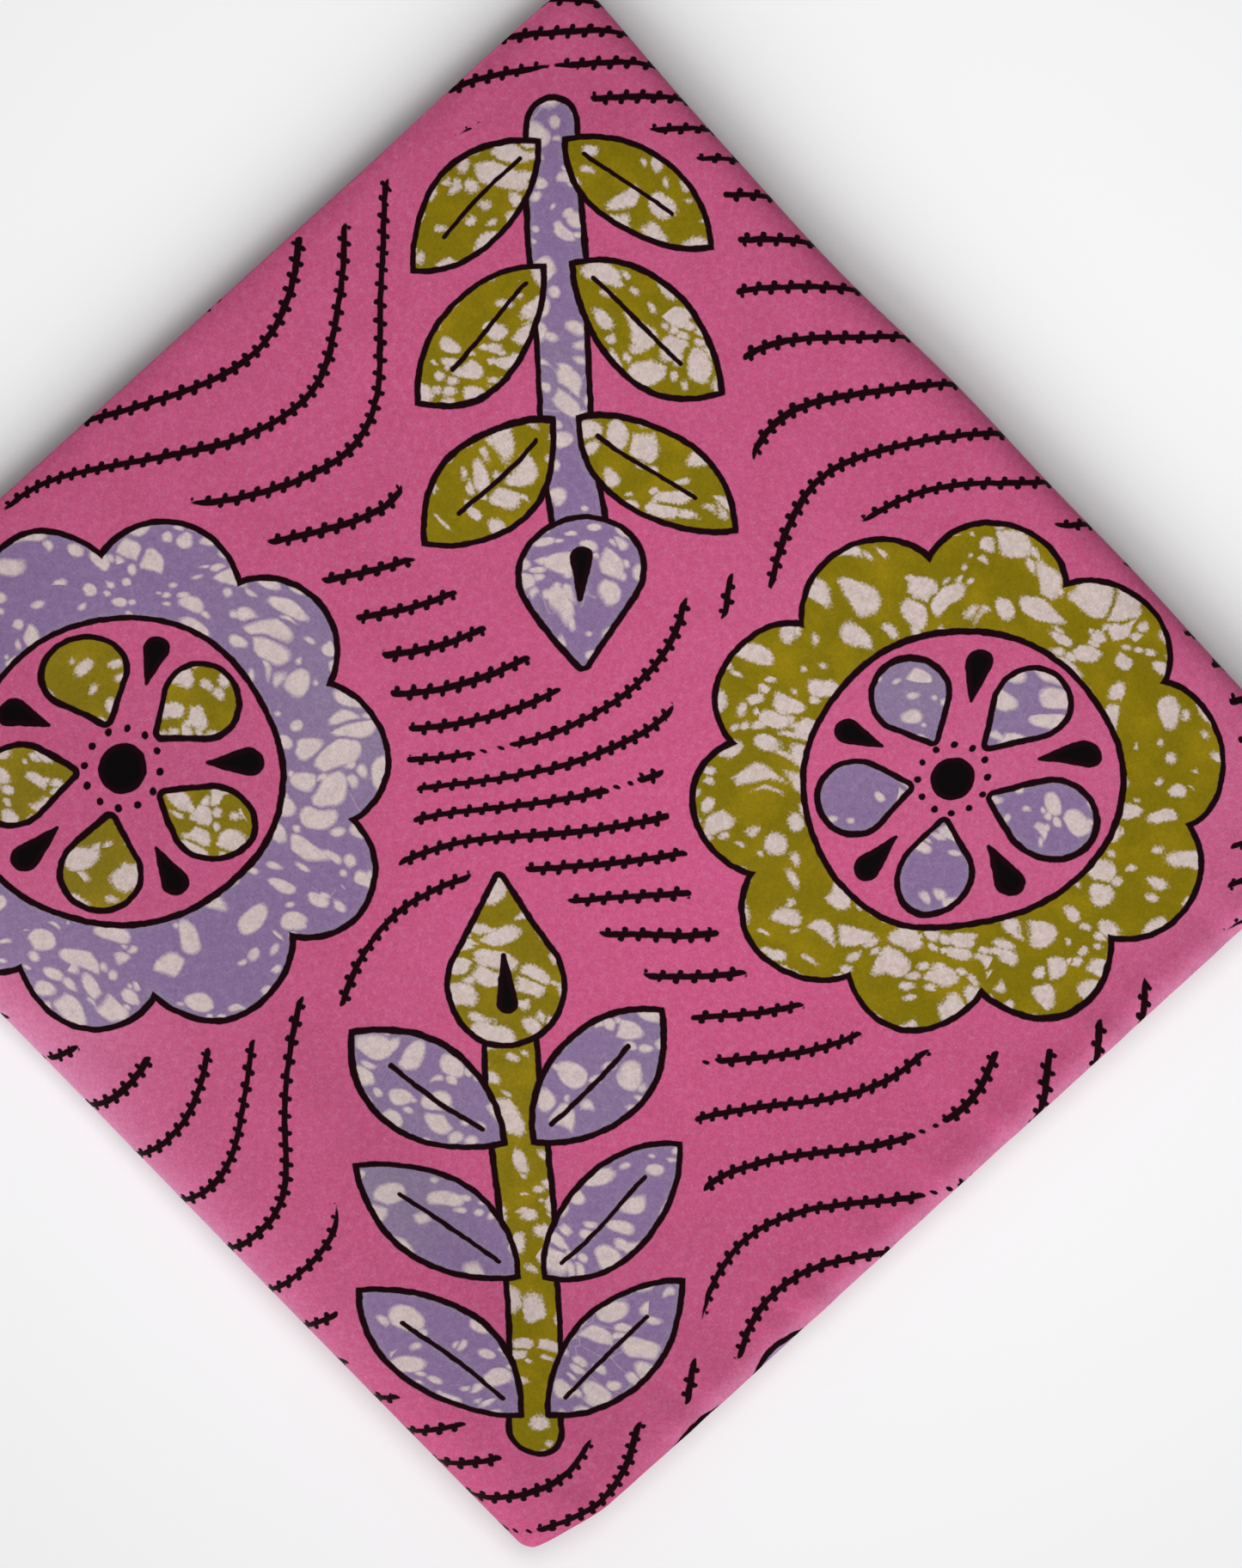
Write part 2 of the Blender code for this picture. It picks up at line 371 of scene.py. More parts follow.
@dataclass(frozen=True)
class FoldPath:
    """The way of the strip through the stack, from one cut end to the other."""

    form: StackForm
    order: Tuple[int, ...] = (16, 1, 8, 9, 12, 5, 4, 13, 14, 3, 6, 11, 10, 7, 2, 15)
    spine_step: float = 0.00195
    end_step: float = 0.0023
    power: float = 2.3
    fine_row: float = 0.0030
    coarse_row: float = 0.0085
    turn_row: float = 0.0016
    turn_rows: int = 8
    cut_back: Pair = (0.0045, 0.0070)
    nest_spread: Pair = (0.6, 1.15)
    part_x: float = -0.1524
    part_strip: int = 8
    seam_gap: float = 0.0005
    lower_turns: Tuple[Tuple[int, float, float], ...] = (
        (9, 0.0008, 0.0036),
        (10, 0.0032, 0.0008),
        (13, 0.0039, 0.0008),
    )
    sways: Tuple[Sway, ...] = (
        Sway(1, 8, 0.0003, 1.0),
        Sway(9, 12, 0.0010, 0.4),
        Sway(13, 14, 0.0008, 2.1),
        Sway(15, 15, 0.0006, 4.0),
        Sway(16, 16, 0.0004, 0.9),
    )
    inset_low: float = 0.0012
    inset_high: float = 0.0030
    inset_wave: Triple = (0.00025, 31.0, 2.6)
    inset_phases: Pair = (0.3, 1.9)
    seed: int = 41

    def height_of(self, strip: int) -> float:
        """Height of a strip, counted from 1 at the top."""
        return self.form.high - (strip - 1) * (self.form.high - self.form.low) / (len(self.order) - 1)

    def turn(self, first: int, second: int, side: Side) -> Pair:
        """Tip and reach of the fold between two strips. Folds lie in nests, each inside the next.

        A fold reaches further than it is high, by a share that grows outwards through its nest.

        Args:
            first: one strip.
            second: the other strip.
            side: the side of the stack.

        Returns:
            X of the fold's tip, and how far it reaches from where the strips are flat.
        """
        rise = abs(self.height_of(first) - self.height_of(second)) / 2
        inner = min(first, second)
        if side is Side.SPINE:
            nest = len(self.order) // 2
            tip = -self.form.spine_x + (inner - 1) * self.spine_step
            return tip, rise * (1 + self.nest_spread[0] * (nest - inner) / (nest - 1))
        for strip, back, reach in self.lower_turns:
            if strip == inner:
                return self.form.end_x - back, reach
        nest = len(self.order) // 4
        tip = self.form.end_x - (inner - 1) * self.end_step
        return tip, rise * (1 + self.nest_spread[1] * (nest - inner) / (nest - 1))

    def strand(self) -> Strand:
        """The whole way: flat stretches joined by rounded folds.

        A fold is a superellipse: its cosine and sine are raised to 2 divided by the power. The way out of
        the printed face is the tangent turned a quarter to the left.

        Returns:
            The samples, with the length along the cloth counted from the middle of the top strip.
        """
        xs, zs, strips = [], [], []
        count = len(self.order)
        start = self.form.end_x - self.cut_back[0]
        for i, strip in enumerate(self.order):
            side = Side.SPINE if i % 2 == 0 else Side.END
            height = self.height_of(strip)
            last = i == count - 1
            tip, reach = (0.0, 0.0) if last else self.turn(strip, self.order[i + 1], side)
            stop = self.form.end_x - self.cut_back[1] if last else tip - side.value * reach
            row = self.fine_row if strip == 1 else self.coarse_row
            flat = np.linspace(start, stop, math.ceil(abs(stop - start) / row) + 1)
            xs.append(flat[0 if i == 0 else 1 :])
            zs.append(np.full(len(xs[-1]), height))
            strips.append(np.full(len(xs[-1]), strip))
            if not last:
                rise = (height - self.height_of(self.order[i + 1])) / 2
                steps = max(self.turn_rows, math.ceil(2 * (reach + abs(rise)) / self.turn_row))
                angle = np.pi * (0.5 - np.arange(1, steps + 1) / steps)
                out = np.abs(np.cos(angle)) ** (2 / self.power)
                up = np.sign(np.sin(angle)) * np.abs(np.sin(angle)) ** (2 / self.power)
                xs.append(stop + side.value * reach * out)
                zs.append(height - rise + rise * up)
                strips.append(np.where(angle > 0, strip, self.order[i + 1]))
                start = stop
        x, z, strip = np.concatenate(xs), np.concatenate(zs), np.concatenate(strips)
        along = np.concatenate([[0], np.cumsum(np.hypot(np.diff(x), np.diff(z)))])
        top = strip == 1
        along = along - np.interp(0, x[top], along[top])
        run, climb = np.gradient(x), np.gradient(z)
        size = np.hypot(run, climb)
        sway, phase = self.sway_of(strip)
        far, near = self.insets(strip, along, x)
        return Strand(x, z, -climb / size, run / size, along, sway, phase, far, near)

    def seam_row(self, strand: Strand) -> int:
        """Finds where the outer stretch ends: by the spine, on the strip that the top one turns back into.

        Args:
            strand: the whole way.

        Returns:
            Its last row.
        """
        above, under = self.height_of(self.part_strip - 1), self.height_of(self.part_strip + 1)
        level = (strand.z < above) & (strand.z > under)
        before = (strand.along > 0) & (strand.along < 3 * self.form.end_x) & (strand.x > self.part_x)
        return int(np.flatnonzero(level & before)[-1])

    def sway_of(self, strip: Array) -> Tuple[Array, Array]:
        """Looks up the waver of each sample's strip.

        Args:
            strip: strip of each sample.

        Returns:
            Amount and phase of the waver.
        """
        amount, phase = np.zeros(strip.shape), np.zeros(strip.shape)
        for sway in self.sways:
            inside = (strip >= sway.first) & (strip <= sway.last)
            amount, phase = np.where(inside, sway.amount, amount), np.where(inside, sway.phase, phase)
        return amount, phase

    def insets(self, strip: Array, along: Array, x: Array) -> Tuple[Array, Array]:
        """How far both long edges sit back: a seeded value for each strip, joined smoothly, plus a sine.

        The two outermost strips, which the order begins with, have no seeded value, and the first no sine.

        Args:
            strip: strip of each sample.
            along: length along the cloth.
            x: place along the stack.

        Returns:
            The insets of the far and of the near edge.
        """
        rng = np.random.default_rng(self.seed)
        middles = np.array([along[strip == s].mean() for s in self.order])
        made = []
        amount, pace, step = self.inset_wave
        for phase in self.inset_phases:
            values = rng.uniform(self.inset_low, self.inset_high, len(self.order))
            values[:2] = 0.0
            wave = amount * np.sin(pace * x + step * strip + phase) * (strip != self.order[0])
            made.append(np.interp(along, middles, values) + wave)
        return made[0], made[1]


@dataclass(frozen=True)
class Section:
    """A cut across the strip as one closed line: the middle ply's face, the two folds and the plies under it.

    Each point of the line has its share of the half width, its offset from the middle line and its place
    across the unfolded cloth.
    """

    share: Array
    offset: Array
    across: Array

    @staticmethod
    def of(form: StackForm, face_step: float, under_step: float, puff: float) -> "Section":
        """Works the section out.

        The far edge is a fold of two plies, with the third ply's cut edge set back under it, and the near
        edge is a fold of all three. Folds are half circles, and the strip swells by puff towards them.

        Args:
            form: the stack.
            face_step: spacing of the points on the printed face.
            under_step: spacing on the plies under it.
            puff: how much thicker half the strip is at its folds.

        Returns:
            The section.
        """
        half, wall = form.half_width, form.wall / 2
        edges = np.array(EDGE_STEPS_MM) / 1000
        far_round, near_round = wall * 2 / 3, wall
        face = Section.spread(half - near_round, half - far_round, edges, face_step)
        under = Section.spread(half - near_round, half - CUT_SETBACK, edges[::3], under_step)[::-1]
        arc = np.pi * np.arange(1, FOLD_STEPS) / FOLD_STEPS
        far_y = half - far_round + far_round * np.sin(arc)
        far_z = wall - far_round + far_round * np.cos(arc)
        near_y = -(half - near_round) - near_round * np.sin(arc)
        near_z = -near_round * np.cos(arc)
        step_y = np.array([half - far_round, half - CUT_SETBACK])
        step_z = wall - 2 * far_round - np.array([0.0, CUT_EASE])
        y = np.concatenate([face, far_y, step_y, under, near_y])
        z = np.concatenate([np.full(len(face), wall), far_z, step_z, np.full(len(under), -wall), near_z])
        across = np.concatenate([face, half + far_round * arc, 2 * half - step_y, -2 * half - under,
                                 -half - near_round * (np.pi - arc)])
        swell = 1 + puff / wall * bell((half - np.abs(y)) / SWELL_REACH)
        return Section(y / half, z * swell, across)

    @staticmethod
    def spread(near: float, far: float, edges: Array, step: float) -> Array:
        """Places from -near to far, evenly spaced in the middle and closer together at both ends."""
        inner = np.linspace(-near + edges[-1], far - edges[-1], max(3, int((near + far) / step)))
        return np.concatenate([-near + edges[:-1], inner, (far - edges[:-1])[::-1]])


@dataclass(frozen=True)
class FoldedCloth:
    """The cloth itself, made as two stretches of one strip: the outermost one and the layers inside it."""

    form: StackForm
    path: FoldPath
    finish: "WaxPrintFinish"
    sway_waves: float = 13.0
    sway_reach: float = 0.040
    sharp_angle: float = 50.0
    wrap_steps: Triple = (0.0030, 0.0100, 0.0)
    layer_steps: Triple = (0.0140, 0.0140, 0.00014)

    def stretch(self, part: Part, strand: Strand, section: Section) -> bpy.types.Object:
        """Carries the section along a stretch of the strip, and closes it with its two cut ends.

        A point is the middle line's, moved out by the section's offset. Where the strip nears its end fold it
        wavers along X with the sine of its place across.

        Args:
            part: which part it is.
            strand: its samples.
            section: the cut across it.

        Returns:
            The object, riding on the frame in place of its solid.
        """
        x = strand.x[:, None] + section.offset * strand.out_x[:, None]
        z = strand.z[:, None] + section.offset * strand.out_z[:, None]
        far = section.share > 0
        inset = np.where(far, strand.far_inset[:, None], strand.near_inset[:, None])
        share = section.share * (1 - inset / self.form.half_width)
        near_end = way_in(x, self.form.end_x, self.sway_reach)
        waver = strand.sway[:, None] * np.sin(self.sway_waves * share + strand.phase[:, None])
        points = self.form.place(x + waver * near_end**2, share, z)
        rows, cols = points.shape[:2]
        index = np.arange(rows * cols).reshape(rows, cols)
        right = np.roll(index, -1, axis=1)
        quads = np.stack([index[:-1], index[1:], right[1:], right[:-1]], axis=-1).reshape(-1, 4)
        faces = quads.tolist() + [index[0].tolist(), index[-1][::-1].tolist()]
        mesh = bpy.data.meshes.new(part.value[0])
        mesh.from_pydata(points.reshape(-1, 3).tolist(), [], faces)
        cloth = np.zeros((rows, cols, 3))
        cloth[..., 0] = strand.along[:, None]
        cloth[..., 1] = section.across
        place = mesh.attributes.new("cloth", "FLOAT_VECTOR", "POINT")
        place.data.foreach_set("vector", cloth.reshape(-1))
        mesh.validate()
        mesh.shade_smooth()
        mesh.set_sharp_from_angle(angle=math.radians(self.sharp_angle))
        obj = add_object(part.value[0], mesh, Matrix())
        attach(obj, "root")
        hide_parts(part.value[1])
        LOG.info("%s: %d rows by %d columns, %.3f m along the strip", obj.name, rows, cols, strand.length)
        return obj

    def build(self) -> None:
        strand = self.path.strand()
        row = self.path.seam_row(strand)
        outer, rest = strand.part(0, row + 1), strand.after(row, self.path.seam_gap)
        wrap = self.stretch(Part.WRAP, outer, Section.of(self.form, *self.wrap_steps))
        layers = self.stretch(Part.LAYERS, rest, Section.of(self.form, *self.layer_steps))
        rows = ((wrap, self.finish, outer, ()), (layers, self.finish.inside(), rest, (wrap,)))
        for obj, finish, stretch, under in rows:
            obj.data.materials.append(finish.material())
            stretch.length


@dataclass(frozen=True)
class Field:
    """One output of a shader node, with the usual arithmetic."""

    graph: "Graph"
    socket: bpy.types.NodeSocket

    def __add__(self, other: Number) -> "Field":
        """The sum."""
        return self.graph.math("ADD", self, other)

    def __sub__(self, other: Number) -> "Field":
        """The difference."""
        return self.graph.math("SUBTRACT", self, other)

    def __rsub__(self, other: float) -> "Field":
        """The difference from a number."""
        return self.graph.math("SUBTRACT", other, self)

    def __mul__(self, other: Number) -> "Field":
        """The product."""
        return self.graph.math("MULTIPLY", self, other)

    def __truediv__(self, other: Number) -> "Field":
        """The quotient."""
        return self.graph.math("DIVIDE", self, other)

    def __abs__(self) -> "Field":
        """The size without its sign."""
        return self.graph.math("ABSOLUTE", self)


class Graph:
    """The node tree of one material, with a short call for each kind of node that the cloth needs."""

    def __init__(self, name: str) -> None:
        """Starts a material.

        Args:
            name: its name.
        """
        self.material = bpy.data.materials.new(name)
        self.material.use_nodes = True
        self.tree = self.material.node_tree
        self.surface = self.tree.nodes["Principled BSDF"]

    def node(self, kind: str, inputs: Optional[Dict] = None, **settings: object) -> bpy.types.Node:
        """Adds a node.

        Args:
            kind: its type.
            inputs: a field or a constant for each input, by name or number.
            settings: its other settings.

        Returns:
            The node.
        """
        made = self.tree.nodes.new(kind)
        for name, value in settings.items():
            setattr(made, name, value)
        for key, value in (inputs or {}).items():
            self.feed(made.inputs[key], value)
        return made

    def feed(self, socket: bpy.types.NodeSocket, value: object) -> None:
        """Links a field to a socket, or sets a constant on it.

        Args:
            socket: the socket.
            value: the field, number or opaque colour.
        """
        if isinstance(value, Field):
            self.tree.links.new(value.socket, socket)
        else:
            socket.default_value = (*value, 1) if isinstance(value, tuple) else value

    def math(self, operation: str, *values: Number, clamp: bool = False) -> Field:
        """One sum of the Math node, by its name and its inputs, kept from 0 to 1 where clamp is set."""
        made = self.node("ShaderNodeMath", dict(enumerate(values)), operation=operation, use_clamp=clamp)
        return Field(self, made.outputs[0])

    def ramp(self, value: Field, scale: float, start: float) -> Field:
        """The scaled value plus a start, kept from 0 to 1."""
        return self.math("MULTIPLY_ADD", value, scale, start, clamp=True)

    def bell(self, away: Field) -> Field:
        """1 at zero, falling away on both sides with the square of the way."""
        return self.math("EXPONENT", away * away * -1.0)

    def least(self, *values: Number) -> Field:
        """The smallest of the values."""
        return reduce(lambda one, other: self.math("MINIMUM", one, other), values)

    def most(self, *values: Number) -> Field:
        """The largest of the values."""
        return reduce(lambda one, other: self.math("MAXIMUM", one, other), values)

    def between(self, value: Field, low: float, high: float) -> Field:
        """The value, kept between two limits."""
        return self.least(self.most(value, low), high)

    def length(self, x: Field, y: Field) -> Field:
        """The square root of the sum of two squares."""
        return self.math("SQRT", self.math("MULTIPLY_ADD", x, x, y * y))

    def wrap(self, value: Field, half: float) -> Field:
        """The value brought between minus half and half by whole periods."""
        return self.math("WRAP", value, half, -half)

    def below(self, value: Field, limit: Number) -> Field:
        """1 where the value is under the limit, and 0 elsewhere."""
        return self.math("LESS_THAN", value, limit)

    def inside(self, distance: Field, soft: float) -> Field:
        """1 where a signed distance is negative and 0 where it is positive, over a soft step."""
        return self.math("MULTIPLY_ADD", distance, -1 / soft, 0.5, clamp=True)

    def toward(self, x: Field, y: Field, degrees: float) -> Field:
        """How far a flat place lies in a direction, which turns from x to y."""
        turn = math.radians(degrees)
        return self.math("MULTIPLY_ADD", x, math.cos(turn), y * math.sin(turn))

    def turned(self, x: Field, y: Field, degrees: float) -> Fields:
        """A flat place along two axes that are turned from x and y."""
        return self.toward(x, y, degrees), self.toward(x, y, degrees + 90)

    def blend(self, first: Number, second: Number, share: Number) -> Field:
        """A number between two, by the share of the second."""
        made = self.node("ShaderNodeMix", {0: share, 2: first, 3: second}, data_type="FLOAT")
        return Field(self, made.outputs[0])

    def tone(self, first: object, second: object, share: Number, way: str = "MIX") -> Field:
        """A colour between two, by the share of the second and this way of blending."""
        made = self.node("ShaderNodeMix", {0: share, 6: first, 7: second}, data_type="RGBA", blend_type=way)
        return Field(self, made.outputs[2])

    def point(self, x: Number, y: Number, z: Number = 0.0) -> Field:
        """A vector of three numbers."""
        return Field(self, self.node("ShaderNodeCombineXYZ", {0: x, 1: y, 2: z}).outputs[0])

    def split(self, vector: Field) -> Fields:
        """The three numbers of a vector or colour."""
        made = self.node("ShaderNodeSeparateXYZ", {0: vector})
        return tuple(Field(self, socket) for socket in made.outputs)

    def noise(self, place: Field, scale: float, detail: float) -> Fields:
        """Smooth noise over a flat place.

        Args:
            place: where it is read.
            scale: features in a metre.
            detail: how many finer layers it has.

        Returns:
            The number, and the colour of three such numbers.
        """
        inputs = {"Vector": place, "Scale": scale, "Detail": detail}
        made = self.node("ShaderNodeTexNoise", inputs, noise_dimensions="2D")
        return Field(self, made.outputs[0]), Field(self, made.outputs[1])

    def stray(self, place: Field, scale: float, detail: float, amount: Number) -> Field:
        """Smooth noise that strays to both sides of zero, by up to half this amount."""
        return (self.noise(place, scale, detail)[0] - 0.5) * amount

    def grain(self, place: Field, grain: Four) -> Field:
        """A share from 0 to 1 from noise: features in a metre, detail, and the ramp's scale and start."""
        scale, detail, slope, start = grain
        return self.ramp(self.noise(place, scale, detail)[0], slope, start)

    def bent(self, place: Field, bends: Tuple[Triple, ...]) -> Fields:
        """A flat place pushed about by noise.

        Args:
            place: the place.
            bends: features in a metre, detail and amount of each push.

        Returns:
            The place along both axes.
        """
        x, y, _ = self.split(place)
        for scale, detail, amount in bends:
            push_x, push_y, _ = self.split(self.noise(place, scale, detail)[1])
            x, y = x + (push_x - 0.5) * amount, y + (push_y - 0.5) * amount
        return x, y

    def cells(self, place: Field, scale: float, feature: str) -> Fields:
        """Cells around scattered points.

        Args:
            place: where they are read.
            scale: cells in a metre.
            feature: F1 for the distance to a cell's point, or DISTANCE_TO_EDGE.

        Returns:
            The distance, in cells, and for F1 the cell's random colour.
        """
        inputs = {"Vector": place, "Scale": scale, "Randomness": CELL_SCATTER}
        made = self.node("ShaderNodeTexVoronoi", inputs, voronoi_dimensions="2D", feature=feature)
        colour = made.outputs["Color"] if feature == "F1" else made.outputs[0]
        return Field(self, made.outputs["Distance"]), Field(self, colour)

    def chance(self, x: Number, y: Number) -> Fields:
        """Three random numbers from 0 to 1 for a pair of whole numbers."""
        made = self.node("ShaderNodeTexWhiteNoise", {"Vector": self.point(x, y)}, noise_dimensions="2D")
        return self.split(Field(self, made.outputs["Color"]))

    def drop(self, along: Field, aside: Field, small: float, big: float, apart: float) -> Field:
        """Signed distance to a drop: the skin round a small circle at zero and a big one further along.

        Args:
            along: place along the drop.
            aside: distance from its middle line.
            small: radius of the small circle.
            big: radius of the big one.
            apart: distance between their middles.

        Returns:
            The distance, negative inside.
        """
        lean = (big - small) / apart
        slope = lean / math.sqrt(1 - lean * lean)
        reach = self.math("MULTIPLY_ADD", aside, slope, along)
        foot = self.between(reach, 0.0, apart)
        return self.length(along - foot, aside) - self.math("MULTIPLY_ADD", foot, lean, small)

    def almond(self, along: Field, aside: Field, long: float, wide: float) -> Field:
        """Signed distance to a pointed leaf round zero, this long and wide: the overlap of two circles."""
        radius = (long * long + wide * wide) / (4 * wide)
        return self.length(along, aside + (radius - wide / 2)) - radius


@dataclass(frozen=True)
class PrintDesign:
    """The print as signed distances on the unfolded cloth: round medallions, leaf sprigs and ticked waves.

    Medallions and sprigs stand on two lattices, each with a second motif in the middle of every repeat, in
    the other tint. Tint 0 is lavender with olive, and tint 1 is the other way round.
    """

    repeat_s: float = 0.380
    repeat_t: float = 0.360
    medallion: Pair = (-0.095, 0.092)
    sprig: Pair = (-0.095, -0.088)
    line: float = 0.0021
    lobes: int = 10
    lobe_at: float = 0.060
    lobe_radius: float = 0.024
    disc: float = 0.062
    window: float = 0.050
    petals: int = 5
    petal: Four = (0.0160, 0.0018, 0.0125, 0.0175)
    seed: Four = (0.0270, 0.0006, 0.0046, 0.0130)
    eye: float = 0.0075
    pearls: int = 12
    pearl_at: float = 0.0118
    pearl: float = 0.0012
    sprig_turn: float = 50.0
    stem: Triple = (-0.084, 0.046, 0.0086)
    leaf_turn: float = 48.0
    leaf_pitch: float = 0.045
    leaf: Triple = (0.0060, 0.0610, 0.0290)
    leaf_from: float = -0.038
    rib: Triple = (0.008, 0.016, 0.0008)
    bud: Four = (0.095, 0.0016, 0.0190, 0.0330)
    heart: Four = (0.038, 0.0036, 0.0009, 0.015)
    sprig_hull: Tuple[Pair, ...] = ((90.0, 0.0512), (42.0, 0.0718), (145.5, 0.0780))
    hull_in: float = 0.0025
    wave_pitch: float = 0.0170
    bend: float = 0.024
    bend_phase: float = 0.6
    drift: float = 0.014
    wave_line: float = 0.00106
    gap_spread: float = 0.12
    gap_half: float = 0.0055
    gap_free: float = 0.85
    dot: Pair = (0.0034, 0.0009)
    tick_pitch: float = 0.0041
    tick_lean: float = 29.0
    tick_half: float = 0.00165
    tick: Pair = (0.00062, 0.20)
    tick_stop: Pair = (0.0010, 0.6)
    margin: Pair = (0.0064, 0.0050)

    def nearest(self, g: Graph, s: Field, t: Field, origin: Pair) -> Fields:
        """Place round the nearest motif of a centred lattice.

        Args:
            g: the graph.
            s: place along the cloth.
            t: place across it.
            origin: one motif's middle.

        Returns:
            The place from the motif's middle, along and across, and the motif's tint.
        """
        half_s, half_t = self.repeat_s / 2, self.repeat_t / 2
        own, other = ((g.wrap(s - (origin[0] + shift * half_s), half_s),
                       g.wrap(t - (origin[1] + shift * half_t), half_t)) for shift in (0, 1))
        tint = g.below(g.length(*other), g.length(*own))
        return g.blend(own[0], other[0], tint), g.blend(own[1], other[1], tint), tint

    def sector(self, g: Graph, far: Field, angle: Field, count: int, shift: float) -> Fields:
        """Folds a round motif into one equal sector: the place along its middle line, and away from it."""
        turned = g.wrap(angle + shift * TURN / count if shift else angle, math.pi / count)
        return far * g.math("COSINE", turned), abs(far * g.math("SINE", turned))

    def medallions(self, g: Graph, s: Field, t: Field) -> Fields:
        """The round motifs: a scalloped ring, petals, seeds between them, and an eye with pearls.

        Args:
            g: the graph.
            s: place along the cloth.
            t: place across it.

        Returns:
            Signed distances to the black, the ring and the petals, the tint, and the distance to the motif,
            with the pockets of its edge filled.
        """
        u, v, tint = self.nearest(g, s, t, self.medallion)
        far, angle = g.length(u, v), g.math("ARCTAN2", v, u)
        x, y = self.sector(g, far, angle, self.lobes, 0)
        outer = g.least(g.length(x - self.lobe_at, y) - self.lobe_radius, far - self.disc)
        window = far - self.window
        start, small, big, apart = self.petal
        x, y = self.sector(g, far, angle, self.petals, 0)
        petal = g.drop(x - start, y, small, big, apart)
        start, small, big, apart = self.seed
        x, y = self.sector(g, far, angle, self.petals, 0.5)
        seed = g.drop(x - start, y, small, big, apart)
        x, y = self.sector(g, far, angle, self.pearls, 0.5)
        pearl = g.length(x - self.pearl_at, y) - self.pearl
        edge = g.least(abs(outer), abs(window), abs(petal)) - self.line / 2
        black = g.least(edge, seed, pearl, far - self.eye)
        round_about = far - (self.lobe_at + self.lobe_radius - self.hull_in)
        return black, g.most(outer, window * -1), petal, tint, g.least(outer, round_about)

    def sprigs(self, g: Graph, s: Field, t: Field) -> Fields:
        """The leaf sprigs: a round-ended stem, three pairs of leaves and a bud.

        Args:
            g: the graph.
            s: place along the cloth.
            t: place across it.

        Returns:
            Signed distances to the black, the leaves and the stem with its bud, the tint, and the distance
            to the motif, with the pockets between its leaves filled.
        """
        u, v, tint = self.nearest(g, s, t, self.sprig)
        along, aside = g.turned(u, v, self.sprig_turn)
        along, aside = along * (tint * -2 + 1), abs(aside)
        first, last, thick = self.stem
        stem = g.length(along - g.between(along, first, last), aside) - thick
        start, small, big, apart = self.bud
        bud = g.drop(start - along, aside, small, big, apart)
        skew = (along - aside / math.tan(math.radians(self.leaf_turn)) - self.leaf_from) / self.leaf_pitch
        station = g.between(g.math("ROUND", skew), -1.0, 1.0)
        out, off = g.turned(along - (station * self.leaf_pitch + self.leaf_from), aside, self.leaf_turn)
        start, long, wide = self.leaf
        out, off = out - start, abs(off)
        leaf = g.almond(out - long / 2, off, long, wide)
        base, tip, thin = self.rib
        rib = g.length(out - g.between(out, base, long - tip), off) - thin
        back, small, big, apart = self.heart
        heart = g.drop(along - (self.bud[0] - back), aside, small, big, apart)
        rod = g.most(stem, leaf * -1, bud * -1)
        edge = g.least(abs(leaf), abs(bud), g.most(abs(stem), leaf * -1, bud * -1)) - self.line / 2
        sides = [g.toward(along, aside, turn) - (reach - self.hull_in) for turn, reach in self.sprig_hull]
        black = g.least(edge, rib, heart)
        return black, leaf, g.least(rod, bud), tint, g.least(leaf, stem, bud, g.most(*sides))

    def waves(self, g: Graph, s: Field, t: Field, motif: Field) -> Field:
        """The ticked waves on the ground between the motifs.

        A line lies where t plus two slow sines of s and t is a whole number of pitches. Short ticks lean
        across it, swelling to their round ends and counted at the foot of each point on its line. A line
        stops short of each motif by its own margin, and some have a gap with a dot at each end.

        Args:
            g: the graph.
            s: place along the cloth.
            t: place across it.
            motif: distance to the nearest motif.

        Returns:
            Signed distance to the black of the waves.
        """
        turn_s, turn_t = TURN / self.repeat_s, TURN / self.repeat_t
        one = s * (2 * turn_s) + self.bend_phase
        two = s * turn_s + t * turn_t
        level = t + g.math("SINE", one) * self.bend + g.math("SINE", two) * self.drift
        slope = g.math("COSINE", two)
        rise_s = g.math("COSINE", one) * (self.bend * 2 * turn_s) + slope * (self.drift * turn_s)
        rise_t = slope * (self.drift * turn_t) + 1
        steep = g.length(rise_s, rise_t)
        number = g.math("ROUND", level / self.wave_pitch)
        off = (level - number * self.wave_pitch) / steep
        stretch = steep / rise_t
        block = g.math("ROUND", s * (2 / self.repeat_s))
        some, more, third = g.chance(number, block)
        margin = some * self.margin[1] + self.margin[0]
        gap_at = (more - 0.5) * self.gap_spread
        gap = abs(g.wrap(s, self.repeat_s / 4) - gap_at) + (margin - self.gap_half)
        gap = gap + g.below(third, self.gap_free)
        open_by = g.least(motif, gap)
        short = g.most(margin - open_by, 0.0)
        stroke = g.length(off, short) - self.wave_line
        dot_in, dot_radius = self.dot
        dot = g.length(off, (gap - (margin - dot_in)) * stretch) - dot_radius
        foot = g.wrap(s - off * rise_s / steep, self.tick_pitch / 2) * stretch
        up, aside = g.turned(off, foot, self.tick_lean)
        end = g.between(up, -self.tick_half, self.tick_half)
        (neck, flare), (early, shrink) = self.tick, self.tick_stop
        ticks = g.length(up - end, aside) - g.math("MULTIPLY_ADD", abs(end), flare, neck)
        ticks = ticks + g.most(margin + early - open_by, 0.0) * shrink
        return g.least(stroke, g.most(dot, margin - motif), ticks)


@dataclass(frozen=True)
class Blobs:
    """White blobs of one scale: cells in a metre, the share that have one, and sizes in cells.

    The sizes are the smallest radius, how much larger it gets, and half the width of a vein.
    """

    scale: float
    kept: float
    least: float
    more: float
    vein: float = 0.050


